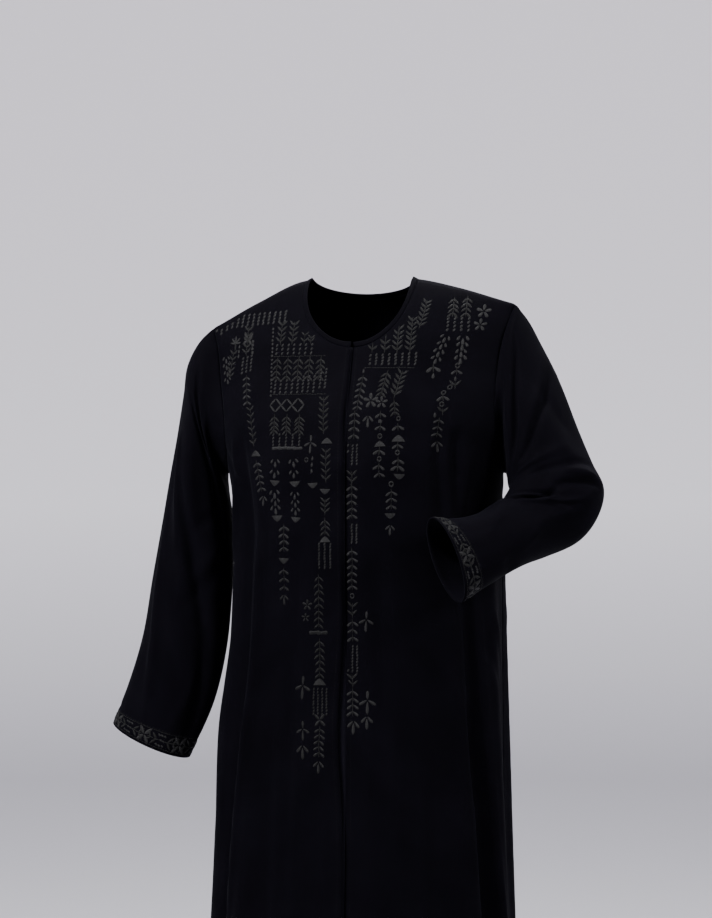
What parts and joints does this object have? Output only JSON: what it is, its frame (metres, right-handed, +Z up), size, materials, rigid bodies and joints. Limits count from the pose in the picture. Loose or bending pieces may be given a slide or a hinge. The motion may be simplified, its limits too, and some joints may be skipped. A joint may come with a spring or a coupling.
{
  "type": "abaya",
  "caption": "Long loose front-opening overgarment of black crepe with tone-on-tone embroidered chest and cuffs, hollow as worn, one arm bent across the waist",
  "frame": {"origin": "the middle of the neck's base, level with the inner ends of the shoulder seams, where the wearer's neck and shoulders carry the garment", "axes": "+Z up, the front faces -Y, +X is the wearer's left"},
  "size_m": [0.652, 0.3629, 1.4237],
  "materials": {
    "crepe": "matt black crepe with a faint blue cast",
    "binding": "matt black crepe cut on the bias",
    "underlap": "smooth black cloth, slightly lighter than the crepe",
    "embroidery": "charcoal satin-stitch thread with a soft sheen"
  },
  "bodies": {
    "root": {"front_right": "crepe", "front_left": "crepe", "back": "crepe", "sleeve_right": "crepe", "sleeve_left": "crepe", "neck_binding": "binding", "underlap_strip": "underlap"}
  },
  "joints": []
}
